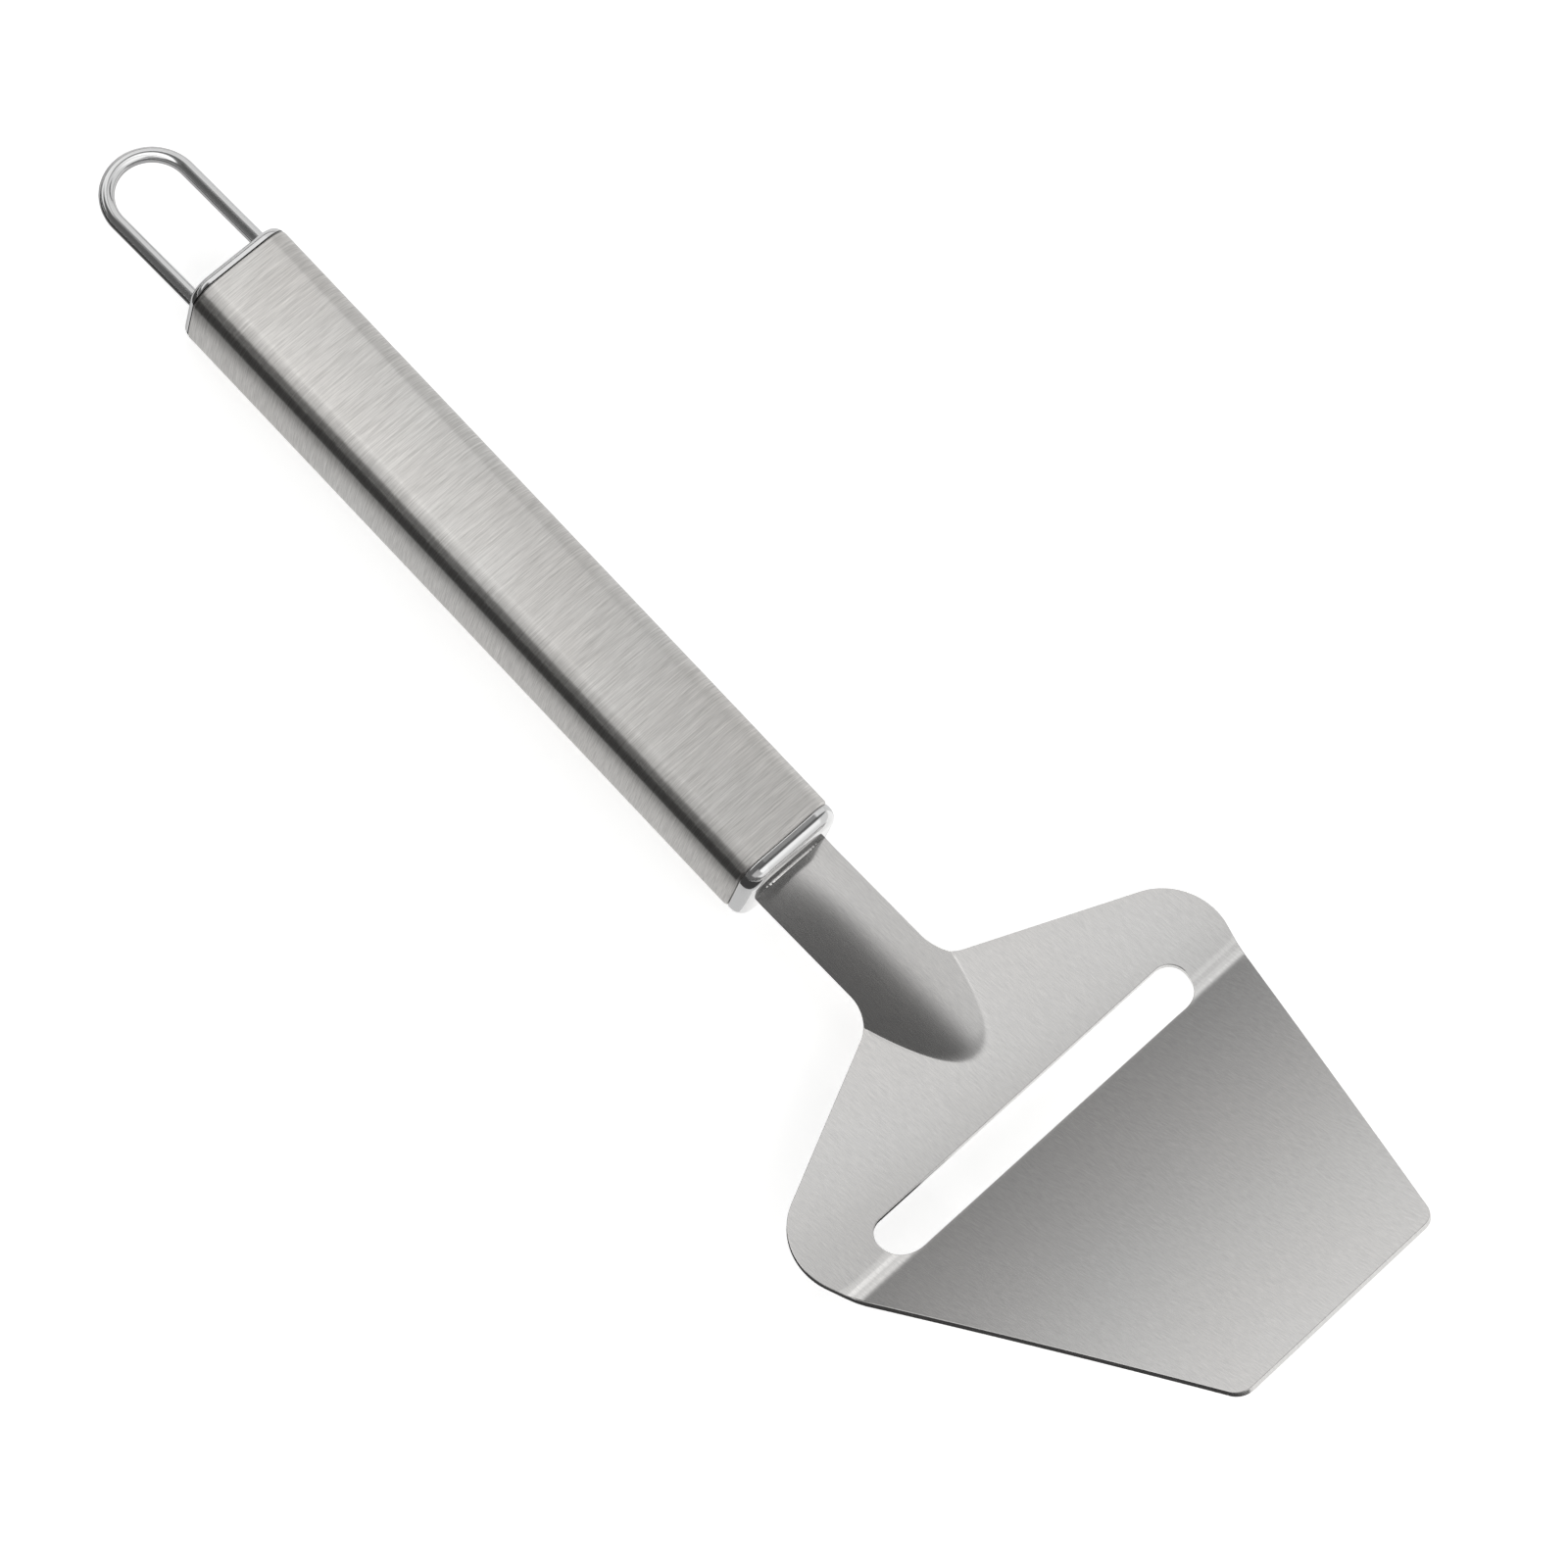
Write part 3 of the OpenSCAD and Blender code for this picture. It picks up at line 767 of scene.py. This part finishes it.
class SLICER_OT_blade(bpy.types.Operator):
    """Form the blade: bent plates, slot with its cutting edge, and arched neck that fades into the plate"""
    bl_idname = "slicer.blade"
    bl_label = "Blade"

    def execute(self, context):
        form = BladeForm(context.scene.slicer_blade, context.scene.slicer_handle)
        # The sheet lies on the right of the outline, and on the right of the slot's loop run backwards
        rims = [form.outline(), form.slot()[::-1]]
        surface = Surface()
        loops = [self.rim(surface, form, rim) for rim in rims]
        self.faces(surface, form, loops)
        steel = satin_sheet_steel(context.scene.slicer_finishes)
        blade = surface.piece("blade_satin", "blade", "satin_blade", steel)
        self.map_grain(blade.data)
        return {"FINISHED"}

    def map_grain(self, mesh):
        """Maps the sheet flat from above, with its width as the first direction of the map."""
        grain = mesh.uv_layers.new(name=GRAIN_MAP)
        for loop in mesh.loops:
            place = mesh.vertices[loop.vertex_index].co
            grain.uv[loop.index].vector = (place.y / GRAIN_MAP_SIZE, place.x / GRAIN_MAP_SIZE)

    def rim(self, surface, form, rim):
        """Rounds the cut edge along one loop and returns the loop where the flat faces start."""
        # The two roundings of an edge leave a narrow flat between them
        most = 0.45
        edge = np.minimum(form.sizes.edge, most * form.thickness(*rim.T))[:, None]
        start = rim - outward(rim) * edge
        top = form.top(*start.T)
        up = form.square(form.top, *start.T)
        reach = form.top(*rim.T) - top
        out = reach - (reach * up).sum(-1, keepdims=True) * up
        out /= np.linalg.norm(out, axis=-1, keepdims=True)
        under = form.bottom(*start.T)
        down = -form.square(form.bottom, *start.T)
        steps = QUARTER_STEPS // 3
        turns = [math.pi / 2 * step / steps for step in range(steps + 1)]
        rings = []
        for face, normal, face_turns in ((top, up, turns), (under, down, turns[::-1])):
            for turn in face_turns:
                way = math.cos(turn) * normal + math.sin(turn) * out
                rings.append((face - edge * normal + edge * way, way))
        for (near, near_way), (far, far_way) in zip(rings, rings[1:]):
            for here in range(len(rim)):
                there = (here + 1) % len(rim)
                surface.face([near[here], near[there], far[there], far[here]],
                             [near_way[here], near_way[there], far_way[there], far_way[here]])
        return start

    def inner_points(self, form, loops):
        """Plan points that fill the sheet between its rims, closest where its form changes most."""
        sizes = form.sizes
        # The grids reach past the rims, and are cut back to them at the end
        across = 1.2 * sizes.half_width
        beside_bend = sizes.bend_reach + 0.5 * MM
        # The neck's finer grid reaches past its sides and its end
        neck_across = 1.45 * sizes.neck_half_width
        neck_front = form.neck_end + 1.5 * MM
        plate = lattice((form.back, sizes.front_length), (-across, across), PLATE_ROW_GAP, PLATE_GAP)
        off_bend = np.abs(plate[:, 0]) > beside_bend
        off_neck = (plate[:, 0] > neck_front) | (np.abs(plate[:, 1]) > neck_across)
        plate = plate[off_bend & off_neck]
        # An even grid, so that no triangle spans two rows of the bend
        bend_run = np.linspace(-sizes.bend_reach, sizes.bend_reach, 2 * QUARTER_STEPS + 1)
        bend_y = np.arange(-across, across, BEND_GAP)
        bend = np.stack(np.meshgrid(bend_run, bend_y), -1).reshape(-1, 2)
        bevel_y = np.arange(-form.slot_front_half(), form.slot_front_half(), PLATE_GAP)
        bevel = np.stack([np.full_like(bevel_y, sizes.slot_ahead + sizes.bevel_width), bevel_y], -1)
        # Close rows follow the hollow joint at the ferrule, and close lines both sides of the crease
        joint_end = form.joint + 0.7 * MM
        joint = lattice((form.joint, joint_end), (-neck_across, neck_across), JOINT_ROW_GAP, NECK_GAP)
        crease = form.crease()
        beside = outward(crease)[1:-1]
        creases = np.concatenate([crease[1:-1] + beside * line * CREASE_GAP for line in range(-3, 4)])
        neck = lattice((form.back, neck_front), (-neck_across, neck_across), NECK_GAP, NECK_GAP)
        neck = neck[np.abs(neck[:, 0] - (form.joint + joint_end) / 2) > NECK_GAP]
        neck = neck[clear_of(neck, creases, CLEAR_GAP)]
        inner = np.concatenate([plate, neck, bend, bevel, joint, creases])
        outer, slot = loops
        inner = inner[inside(inner, outer) & ~inside(inner, slot)]
        for loop in loops:
            inner = inner[clear_of(inner, spread(loop, CLEAR_GAP), CLEAR_GAP)]
        return inner

    def faces(self, surface, form, loops):
        """Fills the top face and the underside between the rounded edges."""
        outer, slot = loops
        plan = np.concatenate([outer, slot, self.inner_points(form, loops)])
        ties = []
        first = 0
        for loop in loops:
            ties.extend((first + i, first + (i + 1) % len(loop)) for i in range(len(loop)))
            first += len(loop)
        # The triangulation works in millimetres, where its single precision is ample
        points = [Vector(point / MM) for point in plan]
        same_point = 1e-5
        # It fills the whole hull, and what lies outside the rims is dropped again
        whole_hull = 0
        _, _, made, source, _, _ = delaunay_2d_cdt(points, ties, [], whole_hull, same_point)
        triangles = np.array([[source[i][0] for i in face] for face in made])
        centres = plan[triangles].mean(axis=1)
        triangles = triangles[inside(centres, outer) & ~inside(centres, slot)]
        top, up = form.top(*plan.T), form.square(form.top, *plan.T)
        under, down = form.bottom(*plan.T), -form.square(form.bottom, *plan.T)
        for face in triangles:
            surface.face(top[face], up[face])
            surface.face(under[face[::-1]], down[face[::-1]])


class DomePatch(NamedTuple):
    """Soft-edged part of the studio dome; its angles are degrees from straight up, negative far and rear."""
    far: float
    near: float
    side_soft: float
    rear: float
    front: float
    end_soft: float
    level: float


# Level of the dome outside its patches
DOME_LEVEL = 1.08
# Angle that reaches the whole way round
ROUND = 178
# Later patches lie over earlier ones
DOME_PATCHES = (
    # The far side is a little dimmer
    DomePatch(-ROUND, -34, 8, -ROUND, ROUND, 6, 0.85),
    # A brighter band low behind the handle lights the front plate towards its outer edge
    DomePatch(-ROUND, ROUND, 6, -72, -62, 6, 1.15),
    # A panel above the blade lights the rounded collars
    DomePatch(-26, 58, 10, 22, 50, 4, 1.35),
    # A dark opening overhead shades the neck's near side
    DomePatch(-25, 75, 11, -25.2, 19, 1, 0.14),
    # It runs on to the rear on the near side, which shades the neck's end in the plate
    DomePatch(4, 75, 8, -55, -20, 6, 0.12),
    # A dark strip that the ferrule's face shows at the neck's root
    DomePatch(-90, 75, 8, -1, 19, 3, 0.12),
    # A dark horizon behind the handle shades the front plate next to the bend
    DomePatch(-ROUND, ROUND, 6, -ROUND, -76.5, 6, 0.22),
    # A dark near side draws the dark line along the handle's corner
    DomePatch(58, ROUND, 5, -ROUND, ROUND, 6, 0.16),
)


def studio_world():
    """Soft studio dome with paler and darker patches, which the steel reflects."""
    world = bpy.data.worlds.new("studio_dome")
    world.use_nodes = True
    tree = world.node_tree
    tree.nodes.clear()
    output = add_node(tree, "ShaderNodeOutputWorld")
    place = add_node(tree, "ShaderNodeTexCoord")
    parts = add_node(tree, "ShaderNodeSeparateXYZ", {"Vector": (place, "Generated")})
    # Angle from straight up towards the near side, and angle from straight up towards the front
    near = add_node(tree, "ShaderNodeMath", {0: (parts, "Y"), 1: -1.0}, operation="MULTIPLY")
    across = add_node(tree, "ShaderNodeMath", {0: (near, "Value"), 1: (parts, "Z")}, operation="ARCTAN2")
    along = add_node(tree, "ShaderNodeMath", {0: (parts, "X"), 1: (parts, "Z")}, operation="ARCTAN2")
    level = DOME_LEVEL
    for patch in DOME_PATCHES:
        share = 1.0
        for turn, edge, way, soft in (
                (across, patch.far, 1, patch.side_soft), (across, patch.near, -1, patch.side_soft),
                (along, patch.rear, 1, patch.end_soft), (along, patch.front, -1, patch.end_soft)):
            ramp = add_node(tree, "ShaderNodeMapRange", {
                "Value": (turn, "Value"), "From Min": math.radians(edge - way * soft),
                "From Max": math.radians(edge + way * soft)}, interpolation_type="SMOOTHSTEP")
            both = add_node(tree, "ShaderNodeMath", {0: share, 1: (ramp, "Result")}, operation="MULTIPLY")
            share = (both, "Value")
        mixed = add_node(tree, "ShaderNodeMix", {"Factor": share, "A": level, "B": patch.level})
        level = (mixed, "Result")
    light = add_node(tree, "ShaderNodeBackground", {"Color": (1, 1, 1, 1), "Strength": level})
    tree.links.new(light.outputs["Background"], output.inputs["Surface"])
    return world


class Card(NamedTuple):
    """Flat card that only reflections show, whose level changes across the handle at one place."""
    plan: list  # four corners as (x, y)
    height: float
    near_level: float
    far_level: float
    change: float  # y at which the level is half way between the two
    soft: float  # how far the change reaches to each side


def rectangle(rear, front, near, far):
    """Corners of a rectangle in a plan, one way round."""
    return [(rear, near), (front, near), (front, far), (rear, far)]


# The floor lies a hair under the handle, and the floor cards a hair above the floor
FLOOR_HEIGHT = -0.2 * MM
FLOOR_CARD_HEIGHT = -0.1 * MM
FLOOR_HALF = 3000 * MM
# White that the floor adds where the camera or a reflection looks at it
FLOOR_LIFT = 0.6


def reflection_cards(handle):
    """The cards on the floor and above the slicer."""
    half = handle.side / 2
    cap = -handle.length / 2
    rear = -300 * MM
    near_front = 400 * MM
    far_front = 60 * MM
    side_end = 2900 * MM
    strip = 5.5 * MM
    strip_soft = 0.5 * MM
    above = 200 * MM
    above_near = -270 * MM
    above_far = 160 * MM
    split = -25 * MM
    # The front edge above the neck is slanted, which keeps the neck's root from turning too bright
    over_neck = [(split, above_near), (-15 * MM, above_near), (26 * MM, above_far), (split, above_far)]
    return (
        # A pale strip of floor beside the handle, and a dark floor beyond it
        Card(rectangle(rear, near_front, -side_end, -half), FLOOR_CARD_HEIGHT,
             0.06, 0.68, -half - strip, strip_soft),
        # A pale floor on the far side
        Card(rectangle(rear, far_front, half, side_end), FLOOR_CARD_HEIGHT,
             0.85, 0.8, half + strip, strip_soft),
        # A grey floor behind the rear cap
        Card(rectangle(rear, cap, -half, half), FLOOR_CARD_HEIGHT, 0.5, 0.5, 0, half),
        # Light above the handle, which falls off from its near to its far side
        Card(rectangle(-105 * MM, split, above_near, above_far), above, 1.75, 0.8, 45 * MM, 50 * MM),
        # Nearly even light above the neck, which the rear plate shows
        Card(over_neck, above, 0.98, 1.02, 50 * MM, 50 * MM),
        # Grey beside the blade, which the front plate shows from behind
        Card(rectangle(70 * MM, 350 * MM, -400 * MM, -90 * MM), above, 0.6, 0.5, -150 * MM, 60 * MM),
    )


class SLICER_OT_stage(bpy.types.Operator):
    """Set up the floor, the studio light and the camera"""
    bl_idname = "slicer.stage"
    bl_label = "Stage"

    def execute(self, context):
        scene = context.scene
        scene.view_settings.view_transform = "Standard"
        self.floor(scene)
        for wanted in reflection_cards(scene.slicer_handle):
            self.card(scene, wanted)
        scene.world = studio_world()
        self.camera(scene)
        return {"FINISHED"}

    def sheet(self, scene, name, plan, height, material):
        """A flat four-cornered piece of the stage."""
        mesh = bpy.data.meshes.new(name)
        mesh.from_pydata([(x, y, height) for x, y in plan], [], [(0, 1, 2, 3)])
        mesh.materials.append(material)
        sheet = bpy.data.objects.new(name, mesh)
        scene.collection.objects.link(sheet)
        return sheet

    def floor(self, scene):
        """Pale floor under the handle, which looks white and keeps the slicer's shadow."""
        material, tree, output = new_material("floor_pale_board")
        # The eye sees matt white board with a faint tooth
        speckle = 1.5 * MM
        place = add_node(tree, "ShaderNodeTexCoord")
        tooth = add_node(tree, "ShaderNodeTexNoise", {
            "Vector": (place, "Object"), "Scale": 1 / speckle, "Detail": 2.0})
        dull = add_node(tree, "ShaderNodeMapRange", {"Value": (tooth, "Fac"), "To Min": 0.8, "To Max": 0.95})
        surface = add_node(tree, "ShaderNodeBsdfPrincipled", {
            "Base Color": (*scene.slicer_finishes.floor, 1), "Roughness": (dull, "Result")})
        seen = add_node(tree, "ShaderNodeLightPath")
        mirrored = add_node(tree, "ShaderNodeMath", {
            0: (seen, "Is Glossy Ray"), 1: (seen, "Is Transmission Ray")}, operation="MAXIMUM")
        shown = add_node(tree, "ShaderNodeMath", {
            0: (seen, "Is Camera Ray"), 1: (mirrored, "Value")}, operation="MAXIMUM")
        lift = add_node(tree, "ShaderNodeMath", {0: (shown, "Value"), 1: FLOOR_LIFT}, operation="MULTIPLY")
        glow = add_node(tree, "ShaderNodeEmission", {"Strength": (lift, "Value")})
        both = add_node(tree, "ShaderNodeAddShader", {0: (surface, "BSDF"), 1: (glow, "Emission")})
        tree.links.new(both.outputs["Shader"], output.inputs["Surface"])
        plan = rectangle(-FLOOR_HALF, FLOOR_HALF, -FLOOR_HALF, FLOOR_HALF)
        floor = self.sheet(scene, "floor", plan, FLOOR_HEIGHT, material)

    def card(self, scene, wanted):
        """One of the cards that only reflections show."""
        material, tree, output = new_material("reflection_card_paper")
        # The eye sees matt paper, and that only as a paler or darker patch in the steel
        place = add_node(tree, "ShaderNodeTexCoord")
        parts = add_node(tree, "ShaderNodeSeparateXYZ", {"Vector": (place, "Object")})
        level = add_node(tree, "ShaderNodeMapRange", {
            "Value": (parts, "Y"), "From Min": wanted.change - wanted.soft,
            "From Max": wanted.change + wanted.soft,
            "To Min": wanted.near_level, "To Max": wanted.far_level})
        surface = add_node(tree, "ShaderNodeEmission", {"Strength": (level, "Result")})
        tree.links.new(surface.outputs["Emission"], output.inputs["Surface"])
        card = self.sheet(scene, "reflection_card", wanted.plan, wanted.height, material)
        card.visible_camera = False
        card.visible_diffuse = False
        card.visible_shadow = False

    def camera(self, scene):
        """Camera at the photograph's viewing angle."""
        stage = scene.slicer_stage
        back = Vector((math.sin(stage.azimuth) * math.cos(stage.elevation),
                       -math.cos(stage.azimuth) * math.cos(stage.elevation),
                       math.sin(stage.elevation)))
        level = Vector((math.cos(stage.azimuth), math.sin(stage.azimuth), 0))
        upright = back.cross(level)
        right = math.cos(stage.roll) * level + math.sin(stage.roll) * upright
        up = back.cross(right)
        turn = Matrix((right, up, back)).transposed().to_4x4()
        camera = bpy.data.objects.new("camera", bpy.data.cameras.new("camera"))
        camera.data.lens = stage.lens
        camera.data.sensor_width = 36
        camera.matrix_world = Matrix.Translation(Vector(stage.target) + stage.distance * back) @ turn
        scene.collection.objects.link(camera)
        scene.camera = camera


class SLICER_PT_panel(bpy.types.Panel):
    """Lists the pieces of the slicer and its stage"""
    bl_label = "Cheese slicer"
    bl_idname = "SLICER_PT_panel"
    bl_space_type = "VIEW_3D"
    bl_region_type = "UI"
    bl_category = "Slicer"

    def draw(self, context):
        for operator in OPERATORS:
            self.layout.operator(operator.bl_idname)
        for group in GROUPS:
            settings = getattr(context.scene, group)
            box = self.layout.box()
            for name in settings.bl_rna.properties.keys():
                if name not in ("rna_type", "name"):
                    box.prop(settings, name)


OPERATORS = (
    SLICER_OT_handle_tube,
    SLICER_OT_fittings,
    SLICER_OT_hanging_loop,
    SLICER_OT_blade,
    SLICER_OT_stage,
)
GROUPS = {
    "slicer_handle": HandleSizes,
    "slicer_loop": LoopSizes,
    "slicer_blade": BladeSizes,
    "slicer_finishes": Finishes,
    "slicer_stage": StageSettings,
}


def register():
    """Registers the classes and hangs the settings on the scene."""
    for group in GROUPS.values():
        bpy.utils.register_class(group)
    for name, group in GROUPS.items():
        setattr(bpy.types.Scene, name, PointerProperty(type=group))
    for part in (*OPERATORS, SLICER_PT_panel):
        bpy.utils.register_class(part)


def unregister():
    """Takes the settings and the classes away again."""
    for part in (*OPERATORS, SLICER_PT_panel):
        bpy.utils.unregister_class(part)
    for name, group in GROUPS.items():
        delattr(bpy.types.Scene, name)
        bpy.utils.unregister_class(group)


def main():
    """Builds every piece and the stage."""
    register()
    bpy.ops.slicer.handle_tube()
    bpy.ops.slicer.fittings()
    bpy.ops.slicer.hanging_loop()
    bpy.ops.slicer.blade()
    bpy.ops.slicer.stage()


if __name__ == "__main__":
    main()
